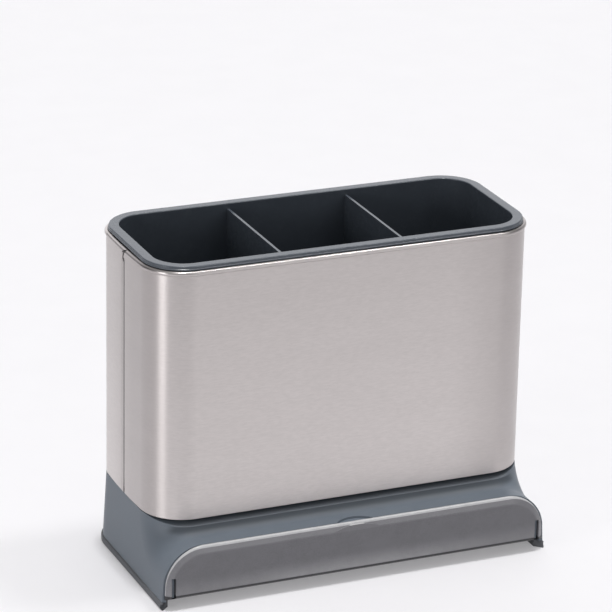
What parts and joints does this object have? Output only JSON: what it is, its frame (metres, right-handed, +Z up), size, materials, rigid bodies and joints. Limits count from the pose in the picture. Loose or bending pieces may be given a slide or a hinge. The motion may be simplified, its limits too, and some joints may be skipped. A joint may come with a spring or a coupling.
{
  "type": "cutlery drainer",
  "caption": "Free-standing cutlery drainer: brushed steel sleeve on a flared plastic base, with a pull-out drip tray and a lift-out insert with dividers.",
  "frame": {"origin": "middle of the footprint, on the surface the drainer stands on", "axes": "+X along the long side, -Y towards the front where the drip tray comes out, +Z up"},
  "size_m": [0.1848, 0.0956, 0.1505],
  "materials": {
    "steel": "horizontally brushed",
    "shell": "satin blue-grey",
    "foot": "soft matt",
    "tray": "satin neutral grey",
    "insert": "satin dark grey"
  },
  "bodies": {
    "base": {"base_shell": "shell", "steel_sleeve": "steel", "nonslip_foot_rim": "foot"},
    "insert": {"cutlery_insert": "insert"},
    "tray": {"drip_tray": "tray"}
  },
  "joints": [
    {"name": "insert_lift", "type": "slide", "parent": "base", "child": "insert", "axis": [0, 0, 1], "range_m": [0, 0.125]},
    {"name": "tray_slide", "type": "slide", "parent": "base", "child": "tray", "axis": [0, -1, 0], "range_m": [0, 0.092]}
  ]
}
